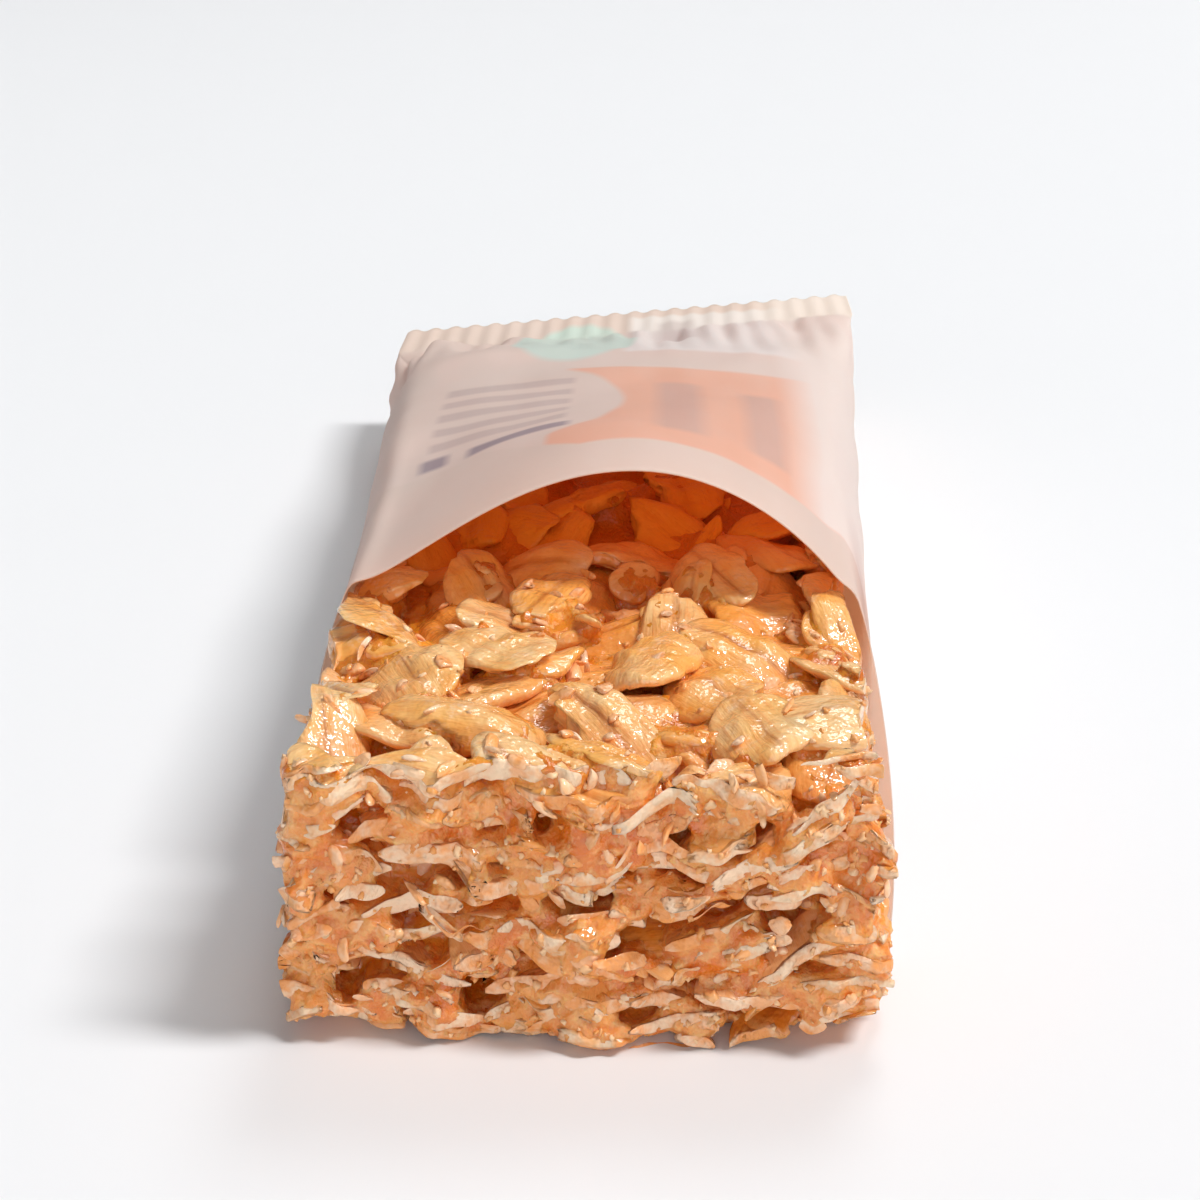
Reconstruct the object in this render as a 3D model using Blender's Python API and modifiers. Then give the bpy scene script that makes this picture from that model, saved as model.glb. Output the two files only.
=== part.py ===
"""A granola bar of pressed oats, part pushed out of its paper flow wrapper.

Two solids: the uneven block of the bar, and the wrapper, a thin tube that is open at the front,
where its top arches off the bar, and pressed flat into a crimped seal at the back.
Units are metres, +Z is up, and the bar's open end faces -Y. "Along" is the distance behind the
bar's front face.
"""

import math

import bmesh
import bpy
from mathutils import Vector, noise

# The bar
BAR_LENGTH = 0.0860
BAR_HEIGHT = 0.0203
BAR_TOP_WIDTH = 0.0366
BAR_BASE_WIDTH = 0.0392
BAR_EDGE_RADIUS = 0.0015
BAR_FACET = 0.0024
LUMP_SPACING = 0.0060
LUMP_HEIGHT = 0.0006
LUMP_SINK = 0.0003
LOOSE_LENGTH = 0.0090
FRONT_SPREAD = 0.050
FRONT_BULGE = 0.0024
CHIP_REACH = 0.0110
RIGHT_CHIP = 0.0022
LEFT_CHIP = 0.0012

# The wrapper's film, and how far the bar stays clear of it
FILM = 0.00035
FILM_GAP = 0.00030

# The wrapper round the bar
FOLD_HEIGHT = 0.0213
BASE_HALF_WIDTH = 0.0206
MIDDLE_HALF_WIDTH = 0.0210
FOLD_HALF_WIDTH = 0.0191
WRAPPER_OFFSET = 0.0003

# The pressed seal at the wrapper's far end, and where each line starts to run out to it
WRAPPER_LENGTH = 0.1260
SEAL_LENGTH = 0.0095
SEAL_HALF_WIDTH = 0.0275
SEAL_HEIGHT = 0.0146
SEAL_TILT = 0.0021
SEAL_SKEW = 0.0020
SEAL_TEETH = 22
TOOTH_DEPTH = 0.0010
FOLD_TURNS_DOWN = 0.0540
FOLD_FLARES = 0.0350
BASE_FLARES = 0.0700
CAVITY_END = 0.1120

# The mouth, where the wrapper is cut open
MOUTH_AT_TOP = 0.0285
MOUTH_AT_FOLD = 0.0260
MOUTH_AT_BASE = 0.0090
ARCH_RISE = 0.0081
ARCH_CREST = 0.0025
ARCH_RIGHT = 0.0154
ARCH_LEFT = 0.0203
ARCH_FADE = 0.0420

# How finely the wrapper is faceted
ROW_POINTS = 2 * SEAL_TEETH
SIDE_POINTS = 5
RING_STATIONS = (0.0, 0.06, 0.14, 0.24, 0.36, 0.48, 0.59, 0.68, 0.75, 0.84, 0.92, 1.0)
INNER_RINGS = 11
FOLD_ROUNDING = 2


def clear_scene():
    for obj in list(bpy.data.objects):
        bpy.data.objects.remove(obj, do_unlink=True)


def smooth_step(value):
    """0 below 0, 1 above 1, and an even S between them."""
    t = min(1.0, max(0.0, value))
    return t * t * (3 - 2 * t)


def mix(first, second, share):
    return first + (second - first) * share


def material(name, colour, roughness):
    made = bpy.data.materials.new(name)
    made.use_nodes = True
    shader = made.node_tree.nodes["Principled BSDF"]
    shader.inputs["Base Color"].default_value = (*colour, 1)
    shader.inputs["Roughness"].default_value = roughness
    shader.inputs["Metallic"].default_value = 0.0
    return made


def add_object(name, mesh, collection, look):
    obj = bpy.data.objects.new(name, mesh)
    collection.objects.link(obj)
    mesh.materials.append(look)
    return obj


# ---------------------------------------------------------------- the bar


def tapered_block():
    """A block that is a little wider at its base, with its front face at along 0."""
    mesh = bpy.data.meshes.new("tapered_block")
    shape = bmesh.new()
    bmesh.ops.create_cube(shape, size=1.0)
    for vertex in shape.verts:
        width = BAR_TOP_WIDTH if vertex.co.z > 0 else BAR_BASE_WIDTH
        across = vertex.co.x * width
        along = (vertex.co.y + 0.5) * BAR_LENGTH
        vertex.co = Vector((across, along, (vertex.co.z + 0.5) * BAR_HEIGHT))
    shape.to_mesh(mesh)
    shape.free()
    return mesh


def evenly_faceted(mesh):
    """The block with rounded edges, remeshed into facets of one size."""
    block = bpy.data.objects.new("block", mesh)
    bpy.context.scene.collection.objects.link(block)
    rounding = block.modifiers.new("rounding", "BEVEL")
    rounding.width = BAR_EDGE_RADIUS
    rounding.segments = 2
    facets = block.modifiers.new("facets", "REMESH")
    facets.mode = "VOXEL"
    facets.voxel_size = BAR_FACET
    graph = bpy.context.evaluated_depsgraph_get()
    made = bpy.data.meshes.new_from_object(block.evaluated_get(graph))
    bpy.data.objects.remove(block)
    return made


def loose(along):
    """1 at the broken front face, falling to 0 where the wrapper holds the bar in."""
    return 1 - smooth_step(along / LOOSE_LENGTH)


def lump(place):
    """How far the oats stand out of the block, or sink into it. The wrapper presses them flat."""
    scaled = Vector(place) / LUMP_SPACING
    swell = noise.noise(scaled) + 0.6 * noise.noise(2.1 * scaled)
    free = loose(place.y)
    return min(LUMP_HEIGHT * swell - LUMP_SINK * (1 - free), LUMP_HEIGHT * free)


def chip(place):
    """How far the two front corners are broken away from below."""
    worn = 0.0
    for side, height in ((1, RIGHT_CHIP), (-1, LEFT_CHIP)):
        reach = math.hypot(place.x - side * BAR_BASE_WIDTH / 2, place.y) / CHIP_REACH
        worn += height * smooth_step(1 - reach)
    return worn * (1 - place.z / BAR_HEIGHT)


def spread(place):
    """The broken end, a little wider than the rest and swollen forward at its foot."""
    free = loose(place.y)
    across = 2 * place.x / BAR_BASE_WIDTH
    swollen = FRONT_BULGE * free * max(0.0, 1 - across * across) * (1 - place.z / BAR_HEIGHT)
    return Vector((place.x * FRONT_SPREAD * free, -swollen, 0.0))


def rest_height(along):
    """What the bar's base lies on: the table at the front, the wrapper's film behind it."""
    on_film = smooth_step((along - MOUTH_AT_BASE + 0.006) / 0.004)
    return on_film * (FILM + FILM_GAP)


def make_bar(collection, look):
    mesh = evenly_faceted(tapered_block())
    mesh.name = "bar"
    outward = [vertex.normal.copy() for vertex in mesh.vertices]
    for vertex, normal in zip(mesh.vertices, outward):
        place = vertex.co.copy()
        moved = place + normal * lump(place) + spread(place)
        if abs(normal.z) > 0.9 and place.z < BAR_HEIGHT / 2:
            moved.z = 0.0
        moved.z += chip(place)
        moved.z = max(moved.z, rest_height(moved.y))
        vertex.co = moved
    mesh.update()
    return add_object("bar", mesh, collection, look)


# ------------------------------------------------------------ the wrapper


def gone(along, start, power):
    """How far along the way from start to the seal, eased by a power."""
    seal_start = WRAPPER_LENGTH - SEAL_LENGTH
    return min(1.0, max(0.0, (along - start) / (seal_start - start))) ** power


def arch(across):
    """The arched top as a share of its rise: round on the right, drawn out on the left."""
    if across > ARCH_CREST:
        run = (across - ARCH_CREST) / ARCH_RIGHT
        return max(0.0, 1 - run * run) ** 0.88
    run = (ARCH_CREST - across) / ARCH_LEFT
    return max(0.0, 1 - run * run) ** 1.35


def shares(start, end, count):
    """Even steps from start towards end, with end left out."""
    return [mix(start, end, step / count) for step in range(count)]


def seal_height(share, side):
    """The pressed film's upper (1) or lower (-1) surface, tilted up to the right."""
    return SEAL_HEIGHT + SEAL_TILT * share + side * FILM


def half_widths(along):
    """Half the wrapper's width at its base, its middle height and its top fold."""
    base = mix(BASE_HALF_WIDTH, SEAL_HALF_WIDTH, gone(along, BASE_FLARES, 1.6))
    middle = mix(MIDDLE_HALF_WIDTH, SEAL_HALF_WIDTH, gone(along, MOUTH_AT_FOLD, 1.0))
    fold = mix(FOLD_HALF_WIDTH, SEAL_HALF_WIDTH, gone(along, FOLD_FLARES, 1.8))
    return base, middle, fold


def base_place(share, along):
    base = half_widths(along)[0]
    return base * share, mix(0.0, seal_height(share, -1), gone(along, BAR_LENGTH, 1.0))


def top_place(share, along):
    """The top: held up by the bar in the middle, lower at its folds, and arched at the mouth."""
    fold = half_widths(along)[2]
    held = mix(FOLD_HEIGHT, seal_height(share, 1), gone(along, BAR_LENGTH, 1.0))
    edge = mix(FOLD_HEIGHT, seal_height(share, 1), gone(along, FOLD_TURNS_DOWN, 1.4))
    crown = 1 - share**6
    rise = ARCH_RISE * math.exp(-(((along - MOUTH_AT_FOLD) / ARCH_FADE) ** 2))
    rise *= 1 - gone(along, BAR_LENGTH / 2, 1.0)
    return fold * share, mix(edge, held, crown) + rise * arch(FOLD_HALF_WIDTH * share)


def side_place(side, up, along):
    """A side panel, from its base (up 0) to its top fold (up 1), bulging between them."""
    base, middle, fold = half_widths(along)
    bulge = 4 * up * (1 - up) * (middle - (base + fold) / 2)
    height = mix(base_place(side, along)[1], top_place(side, along)[1], up)
    return side * (mix(base, fold, up) + bulge), height


def section(along):
    """The wrapper's outline at one place: base, right side, top, left side."""
    base_row = [base_place(share, along) for share in shares(-1, 1, ROW_POINTS)]
    right = [side_place(1, up, along) for up in shares(0, 1, SIDE_POINTS)]
    top_row = [top_place(share, along) for share in shares(1, -1, ROW_POINTS)]
    left = [side_place(-1, up, along) for up in shares(1, 0, SIDE_POINTS)]
    return base_row + right + top_row + left


def mouth_edge(across, height):
    """Where the cut edge lies: furthest forward at the base, furthest back over the arch."""
    up = min(1.0, height / FOLD_HEIGHT)
    edge = mix(MOUTH_AT_BASE, MOUTH_AT_FOLD, up**1.5)
    if height > FOLD_HEIGHT:
        edge += (MOUTH_AT_TOP - MOUTH_AT_FOLD) * arch(across)
    return edge


def eased(ring):
    """The ring with its folds rounded. What lies on the table stays there."""
    for _ in range(FOLD_ROUNDING):
        turned = []
        for index, point in enumerate(ring):
            around = ring[index - 1] + ring[(index + 1) % len(ring)]
            new = point * 0.5 + around * 0.25
            turned.append(Vector((new.x, new.y, point.z if point.z < 1e-9 else new.z)))
        ring = turned
    return ring


def ring_between(share, end):
    """A ring of the wrapper, share of the way from the mouth's cut edge to a flat end."""
    places = []
    for index, (across, height) in enumerate(section(MOUTH_AT_TOP)):
        along = mix(mouth_edge(across, height), end, share)
        x, z = section(along)[index]
        places.append(Vector((x + WRAPPER_OFFSET, along, z)))
    return eased(places)


def inside_of(ring):
    """The ring moved inwards by the film's thickness."""
    inner = []
    for index, place in enumerate(ring):
        run = ring[(index + 1) % len(ring)] - ring[index - 1]
        inner.append(place + FILM * Vector((-run.z, 0, run.x)).normalized())
    return inner


def seal_ring(along):
    """A ring of the pressed seal, whose right end lies further back than its left."""
    ring = [Vector((x + WRAPPER_OFFSET, along, z)) for x, z in section(along)]
    for place in ring:
        place.y += SEAL_SKEW * place.x / SEAL_HALF_WIDTH
    return ring


def toothed(ring):
    """The seal's cut edge: every other point set back, which makes its zigzag."""
    for index in range(0, ROW_POINTS + 1, 2):
        ring[index].y -= TOOTH_DEPTH
        ring[(ROW_POINTS + SIDE_POINTS + index) % len(ring)].y -= TOOTH_DEPTH
    return ring


def bridge(shape, first, second):
    for index in range(len(first)):
        after = (index + 1) % len(first)
        shape.faces.new((first[index], first[after], second[after], second[index]))


def close_flat(shape, ring, facing):
    """Closes a flattened ring, from each point of its base to the one above it."""
    count = len(ring)
    turned = [ring[(index - SIDE_POINTS // 2) % count] for index in range(count)]
    for index in range(count // 2 - 1):
        across = (turned[count - 2 - index], turned[count - 1 - index])
        shape.faces.new((turned[index], turned[index + 1], *across)[::facing])


def make_wrapper(collection, look):
    """A tube of film lofted from the seal along its outside to the mouth, and back inside."""
    outer = [ring_between(share, CAVITY_END) for share in RING_STATIONS]
    inner = [inside_of(ring) for ring in outer[:INNER_RINGS]]
    seal_start = seal_ring(WRAPPER_LENGTH - SEAL_LENGTH)
    cut_end = toothed(seal_ring(WRAPPER_LENGTH))
    shape = bmesh.new()
    rings = [
        [shape.verts.new(place) for place in ring]
        for ring in (cut_end, seal_start, *reversed(outer), *inner)
    ]
    for first, second in zip(rings, rings[1:]):
        bridge(shape, first, second)
    close_flat(shape, rings[0], -1)
    close_flat(shape, rings[-1], 1)
    mesh = bpy.data.meshes.new("wrapper")
    shape.to_mesh(mesh)
    shape.free()
    return add_object("wrapper", mesh, collection, look)


# ------------------------------------------------------------- the object


def centre_on_table(objects):
    """Puts the middle of the whole object's footprint at the origin."""
    places = [vertex.co for obj in objects for vertex in obj.data.vertices]
    for axis in (0, 1):
        values = [place[axis] for place in places]
        middle = (min(values) + max(values)) / 2
        for place in places:
            place[axis] -= middle


def main():
    clear_scene()
    collection = bpy.data.collections.new("granola_bar")
    bpy.context.scene.collection.children.link(collection)
    toasted = material("toasted_oats", (0.72, 0.36, 0.13), 0.45)
    paper = material("wrapper_paper", (0.68, 0.53, 0.45), 0.55)
    centre_on_table([make_bar(collection, toasted), make_wrapper(collection, paper)])


main()
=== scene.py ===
"""Looks for a granola bar part pushed out of its paper wrapper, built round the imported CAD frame.

Oat flakes are dropped one by one onto a height map until the bar is full, then broken off at its
front and trimmed at its sides. The syrup is the smoothed union of all flakes, so it fills the
crevices between them. The wrapper is a thin film with a plain print of soft colour fields.
Lengths are in millimetres until a mesh is made. "Along" is the distance behind the front face.
"""

import math

import bmesh
import bpy
import numpy as np
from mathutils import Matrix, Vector
from mathutils.bvhtree import BVHTree


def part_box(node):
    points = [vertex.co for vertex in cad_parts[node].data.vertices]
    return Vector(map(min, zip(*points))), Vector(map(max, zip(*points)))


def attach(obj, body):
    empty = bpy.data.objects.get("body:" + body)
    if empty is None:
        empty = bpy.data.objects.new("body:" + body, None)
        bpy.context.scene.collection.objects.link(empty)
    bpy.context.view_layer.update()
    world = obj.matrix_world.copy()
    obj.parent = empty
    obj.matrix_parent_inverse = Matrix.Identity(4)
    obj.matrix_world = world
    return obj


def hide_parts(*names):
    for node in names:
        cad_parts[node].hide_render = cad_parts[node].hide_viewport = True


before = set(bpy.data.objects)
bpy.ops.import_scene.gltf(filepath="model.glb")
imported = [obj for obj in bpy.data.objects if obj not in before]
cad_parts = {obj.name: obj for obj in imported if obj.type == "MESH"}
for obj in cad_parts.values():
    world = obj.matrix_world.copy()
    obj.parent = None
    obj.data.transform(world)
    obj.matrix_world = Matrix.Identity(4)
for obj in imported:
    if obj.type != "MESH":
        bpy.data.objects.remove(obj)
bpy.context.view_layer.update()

MM = 0.001
SEED = 41
TURN = 2 * math.pi

# The bar, as in the CAD part
BAR_LENGTH = 86.0
BAR_HEIGHT = 20.3
TOP_HALF = 18.3
BASE_HALF = 19.6
BAR_SHIFT = -0.3
FRONT_SWELL = 2.1
CHIP_REACH = 11.0
RIGHT_CHIP = 2.4
LEFT_CHIP = 1.2
REST_ON_FILM = 0.4
EXPOSED = 38.0

# The wrapper, as in the CAD part, but with film of a real thickness
FILM = 0.1
FOLD_HEIGHT = 21.3
FOLD_HALF = 19.1
MIDDLE_HALF = 21.0
WRAPPER_BASE_HALF = 20.6
WRAPPER_LENGTH = 126.0
SEAL_LENGTH = 9.5
SEAL_HALF = 27.5
SEAL_HEIGHT = 14.6
SEAL_TILT = 2.1
SEAL_SKEW = 2.0
SEAL_TEETH = 22
TOOTH_DEPTH = 1.0
FOLD_TURNS_DOWN = 54.0
FOLD_FLARES = 35.0
BASE_FLARES = 70.0
MOUTH_AT_TOP = 28.5
MOUTH_AT_FOLD = 26.0
MOUTH_AT_BASE = 9.0
ARCH_RISE = 8.1
ARCH_CREST = 2.5
ARCH_RIGHT = 15.4
ARCH_LEFT = 20.3
ARCH_FADE = 42.0
SEAL_START = WRAPPER_LENGTH - SEAL_LENGTH
CAVITY_END = SEAL_START - 1.0
FILM_GRID = (6 * SEAL_TEETH, 17, 68)

# How the oats, syrup and crumbs lie
TOP_LAYER = BAR_HEIGHT - 4.0
LAID_FULL = BAR_HEIGHT - 1.3
MOST_FLAKES = 6000
PLACES_TRIED = 6
HOLE_SHARE = 0.2
GOLDEN_SHARE = 0.55
SEEN_IN_MOUTH = 62.0
UNDER_FILM = 0.45
SLIVER_LIFT = 0.08
SYRUP_CORE = 3.4
BASE_SYRUP = 1.6
CRUMBS = {"top": 60, "front": 400, "side": 200}
SLIVERS = {"top": 90, "front": 50, "side": 24}
FINE_SYRUP = {"start": -4.0, "end": EXPOSED + 2, "step": 0.345, "width": 0.46, "level": 0.52}
COARSE_SYRUP = {"start": EXPOSED, "end": BAR_LENGTH, "step": 0.8, "width": 0.8, "level": 0.5}

# Colours and gloss of the oats and syrup, and in metres where they turn deep amber: below the top from
# soaked syrup and painted shade, under the wrapper from painted shade
TOASTED = {
    "deep": (0.88, 0.25, 0.015), "golden": (1.0, 0.47, 0.1), "pale": (1.0, 0.63, 0.28),
    "floury": 0.3, "dry_glaze": 0.85, "wet_glaze": 1.0, "glow": 0.25, "soak_and_shade": 0.9, "shine": 0.5,
}
CREAM = {
    "deep": (0.92, 0.33, 0.06), "golden": (1.0, 0.49, 0.16), "pale": (1.0, 0.63, 0.34),
    "floury": 0.6, "dry_glaze": 0.3, "wet_glaze": 0.9, "glow": 0.0, "soak_and_shade": 0.5, "shine": 0.5,
}
SHADED = {
    "deep": (0.66, 0.18, 0.01), "golden": (0.94, 0.45, 0.05), "pale": (1.0, 0.58, 0.14),
    "floury": 0.1, "dry_glaze": 0.1, "wet_glaze": 0.3, "glow": 0.0, "soak_and_shade": 0.9, "shine": 0.15,
}
CREASE = (0.36, 0.09, 0.01)
FLOUR = (0.95, 0.8, 0.62)
BROKEN_OAT = ((0.93, 0.32, 0.06), (1.0, 0.72, 0.5))
SOAKED_AND_SHADED_OAT = (0.84, 0.25, 0.008)
BAG_SHADED_OAT = (0.85, 0.22, 0.012)
BAG_SHADED_SYRUP = (0.66, 0.12, 0.005)
GLAZE_ROUGHNESS = 0.08
SOAKED_AND_SHADED_BELOW = (0.0202, 0.017)
# Painted shade under the wrapper: where along the bar it starts and ends, and how far it turns all a
# deep amber
BAG_SHADE_EDGE = (-0.0355, -0.0255)
BAG_SHADE_DEPTH = 0.85

# The print's small marks, how much light the paper lets through, and where it is nearly clear
GREY_INK = (0.55, 0.47, 0.46)
DARK_INK = (0.2, 0.2, 0.3)
FILM_GLOW = (0.34, 0.75)
CLEAR_SIDES = (22.0, 27.0)
CLEAR_ALONG = (50.0, 30.0)
CLEAR_MOST = 0.42

# The studio, in metres and degrees
FLOOR = (0.84, 0.85, 0.865)
FLOOR_HALF = 3.0
SKY = (0.98, 0.99, 1.0)
SKY_STRENGTH = 0.205
SKY_PATCHES = (((0.0, -1.0, 0.15), 15, 45, 1.45), ((0.15, 0.52, 0.84), 3, 14, 7.0))
KEY_WINDOW = {
    "place": (2.2, -0.15, 3.35), "target": (0, -0.03, 0.01), "size": (0.6, 1.4),
    "power": 124.0, "colour": (1.0, 0.99, 0.985),
}
CAMERA_LENS = 54.0
CAMERA_PLACE = (0.004107, 0.095793, 0.075036)
CAMERA_DOWN = 24.31
CAMERA_LEFT = 1.947

FACE_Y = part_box("bar")[0].y + FRONT_SWELL * MM

# ----- helpers


def smooth(value):
    t = np.clip(value, 0.0, 1.0)
    return t * t * (3 - 2 * t)


def mix(first, second, share):
    return first + (second - first) * share


def rotated(x, y, angle):
    """The place x, y turned about the origin."""
    cos, sin = math.cos(angle), math.sin(angle)
    return x * cos - y * sin, x * sin + y * cos


def columns(*parts):
    """The parts side by side, as points or other rows."""
    return np.stack(np.broadcast_arrays(*parts), -1)


class Ripple:
    """A smooth random field of about unit size: sine waves of nearly one length, all directions."""

    def __init__(self, rng, length, count=10):
        heading = rng.normal(size=(count, 3))
        heading /= np.linalg.norm(heading, axis=1, keepdims=True)
        self.waves = heading * (TURN / length) * rng.uniform(0.7, 1.4, (count, 1))
        self.phases = rng.uniform(0, TURN, count)
        self.size = math.sqrt(2 / count)

    def __call__(self, points):
        return self.size * np.sin(points @ self.waves.T + self.phases).sum(-1)


def in_scene(name, data, place=(0, 0, 0)):
    obj = bpy.data.objects.new(name, data)
    obj.location = place
    bpy.context.scene.collection.objects.link(obj)
    return obj


def new_mesh(name, points, faces, attributes):
    """A mesh object from points in millimetres and rows of quads or triangles."""
    mesh = bpy.data.meshes.new(name)
    mesh.from_pydata(points * MM + [0, FACE_Y, 0], [], faces.tolist(), shade_flat=False)
    mesh.validate()
    for label, values in attributes:
        layer = mesh.attributes.new(label, "FLOAT_COLOR", "POINT")
        colour = np.ones((len(points), 4), np.float32)
        colour[:, : values.shape[1]] = values
        layer.data.foreach_set("color", colour.ravel())
    return in_scene(name, mesh)


class Heap:
    """Many copies of one small mesh, gathered into a single piece."""

    def __init__(self, faces, corners):
        self.faces, self.corners = faces, corners
        self.points, self.values = [], []

    def add(self, points, *values):
        """Add a copy, kept above the table."""
        self.points.append(np.maximum(points, [-np.inf, -np.inf, 0.0]))
        self.values.append(values)

    def piece(self, name, *labels):
        first = np.arange(len(self.points))[:, None, None] * self.corners
        faces = (self.faces + first).reshape(-1, self.faces.shape[1])
        values = [np.concatenate(rows) for rows in zip(*self.values)]
        return new_mesh(name, np.concatenate(self.points), faces, zip(labels, values))


# ----- the shape of one flake


def disc(u, v):
    """A square's points brought onto a disc, and how far out they lie."""
    x, y = u * np.sqrt(1 - v * v / 2), v * np.sqrt(1 - u * u / 2)
    return x, y, np.hypot(x, y)


class Flake:
    """One rolled oat: a plump, curled oval with a crease, perhaps broken off across a line."""

    def __init__(self, rng, length, width, thickness):
        self.length, self.width, self.thickness = length, width, thickness
        self.reach = 0.5 * math.hypot(length, width)
        size = length / 9
        self.lobes = rng.normal(0, 1, 5) * [0.05, 0.04, 0.035, 0.025, 0.02]
        self.turns = rng.uniform(0, TURN, 5)
        self.nicks = rng.uniform(0, TURN, 3)
        self.nick_depth = rng.uniform(0.02, 0.16, 3)
        self.curl = rng.normal(-0.1, 0.35) * size
        self.cup = rng.normal(-0.2, 0.2) * size
        self.twist = rng.normal(0, 0.3) * size
        self.crease = rng.uniform(0.0, 0.38) * size
        self.fold = rng.uniform(0.0, 0.45) * size
        self.ripple = Ripple(rng, rng.uniform(2.4, 3.8), 6)
        self.wrinkle = Ripple(rng, rng.uniform(0.9, 1.4), 8)
        self.wrinkling = rng.uniform(0.02, 0.05)
        self.waving = 0.15
        self.shift = rng.uniform(0, 50, 3)
        self.cuts = []
        self.tint = rng.uniform(0, 1)
        self.tone = rng.uniform(0, 1)

    def calm(self):
        """Press the flake nearly flat, as those inside the bar are."""
        self.curl, self.cup, self.twist = 0.5 * self.curl, 0.5 * self.cup, 0.4 * self.twist
        self.fold, self.waving = 0.4 * self.fold, 0.07

    def cut_across(self, rng, share):
        """Break the flake along a ragged line, share of the way out from its centre."""
        self.cuts.append((rng.uniform(0, TURN), share, Ripple(rng, 1.6, 5)))

    def outline(self, x, y):
        angle = np.arctan2(y, x)
        radius = np.hypot(x, y)
        wave = np.zeros_like(x)
        for order, (lobe, turn) in enumerate(zip(self.lobes, self.turns)):
            wave += lobe * np.sin((order + 2) * angle + turn)
        for place, depth in zip(self.nicks, self.nick_depth):
            away = np.abs(angle - place)
            away = np.minimum(away, TURN - away)
            wave -= depth * np.exp(-((away / 0.16) ** 2))
        grow = 1 + wave * radius**3
        return x * grow, y * grow

    def flat(self, u, v):
        """Where points lie on the flake, along and across it, and how far out towards its rim."""
        x, y, radius = disc(u, v)
        x, y = self.outline(x, y)
        for angle, share, ragged in self.cuts:
            across = x * math.cos(angle) + y * math.sin(angle)
            edge = share + 0.07 * ragged(columns(x, y, 0) * 4 + self.shift)
            over = np.maximum(across - edge, 0.0)
            x = x - over * math.cos(angle)
            y = y - over * math.sin(angle)
        return x * self.length / 2, y * self.width / 2, radius

    def rise(self, x, y, radius, side):
        """The height of the upper (1), lower (-1) or middle (0) surface."""
        plump = 0.22 + 0.78 * np.maximum(0, 1 - radius**2.6) ** 0.6
        lie = columns(x, y, 0) + self.shift
        x, y = x / (self.length / 2), y / (self.width / 2)
        warp = self.curl * x * x + self.cup * y * y + self.twist * x * y - self.fold * np.abs(y)
        groove = -self.crease * np.exp(-((y / 0.15) ** 2)) * (1 - x * x)
        warp = warp + self.waving * self.ripple(lie) + groove * (0.6 + 0.4 * side)
        apart = np.multiply.outer(side, [3.7] * 3)
        rough = self.wrinkling * self.wrinkle(lie * [0.4, 1.3, 1.0] + apart)
        return warp + side * (self.thickness / 2 * plump + rough)


def flake_grid(lengthwise, crosswise):
    """The u, v and side of each vertex of a closed flake, and its quads."""
    steps = [np.linspace(-1, 1, count + 1) for count in (lengthwise, crosswise)]
    u, v = np.meshgrid(*steps, indexing="ij")
    count = u.size
    index = np.arange(count).reshape(u.shape)
    top = columns(index[:-1, :-1], index[1:, :-1], index[1:, 1:], index[:-1, 1:]).reshape(-1, 4)
    base = top[:, ::-1] + count
    rim = np.concatenate([index[:, 0], index[-1, 1:], index[-2::-1, -1], index[0, -2:0:-1]])
    after = np.roll(rim, -1)
    wall = columns(rim, rim + count, after + count, after)
    sides = np.concatenate([np.ones(count), -np.ones(count)])
    faces = np.concatenate([top, base, wall])
    return np.tile(u.ravel(), 2), np.tile(v.ravel(), 2), sides, faces


class Laid:
    """A flake where it lies in the bar: its centre, turn, roll, height, slopes and looseness."""

    def __init__(self, rng, flake, centre, turn, height, slope):
        self.flake, self.centre, self.turn = flake, centre, turn
        self.height, self.slope = height, slope
        self.loose = float(np.clip(rng.normal(0.0, 0.4), -1.0, 0.7))
        small = flake.length < 6
        inner = height < TOP_LAYER
        self.roll = rng.normal(0, 0.75 if small else 0.25) if inner else rng.normal(0, 0.1)

    def points(self, u, v, side, trim, hold=0.0):
        """Points of the trimmed flake in the bar, on the flake itself, and 1 where it is cut.

        hold keeps the flake back behind its own place at the front and the sides.
        """
        x, y, radius = self.flake.flat(u, v)
        cos, sin = math.cos(self.turn), math.sin(self.turn)
        across = self.centre[0] + x * cos - y * sin
        along = self.centre[1] + x * sin + y * cos
        trimmed_across, trimmed_along, cut = trim.flat(across, along, self.height, self.loose - hold)
        x = x + (trimmed_across - across) * cos + (trimmed_along - along) * sin
        y = y - (trimmed_across - across) * sin + (trimmed_along - along) * cos
        local = columns(x, y, self.flake.rise(x, y, radius, side))
        return trim.pressed(self.place(local), self.loose - hold), local, cut

    def place(self, local):
        """Points of the flake moved to where it lies."""
        own_y, own_z = rotated(local[..., 1], local[..., 2], self.roll)
        x, y = rotated(local[..., 0], own_y, self.turn)
        z = self.height + self.slope[0] * x + self.slope[1] * y + own_z
        return columns(self.centre[0] + x, self.centre[1] + y, z)


# ----- laying up the bar


def half_width(height):
    return mix(BASE_HALF, TOP_HALF, np.clip(height / BAR_HEIGHT, 0, 1))


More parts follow.
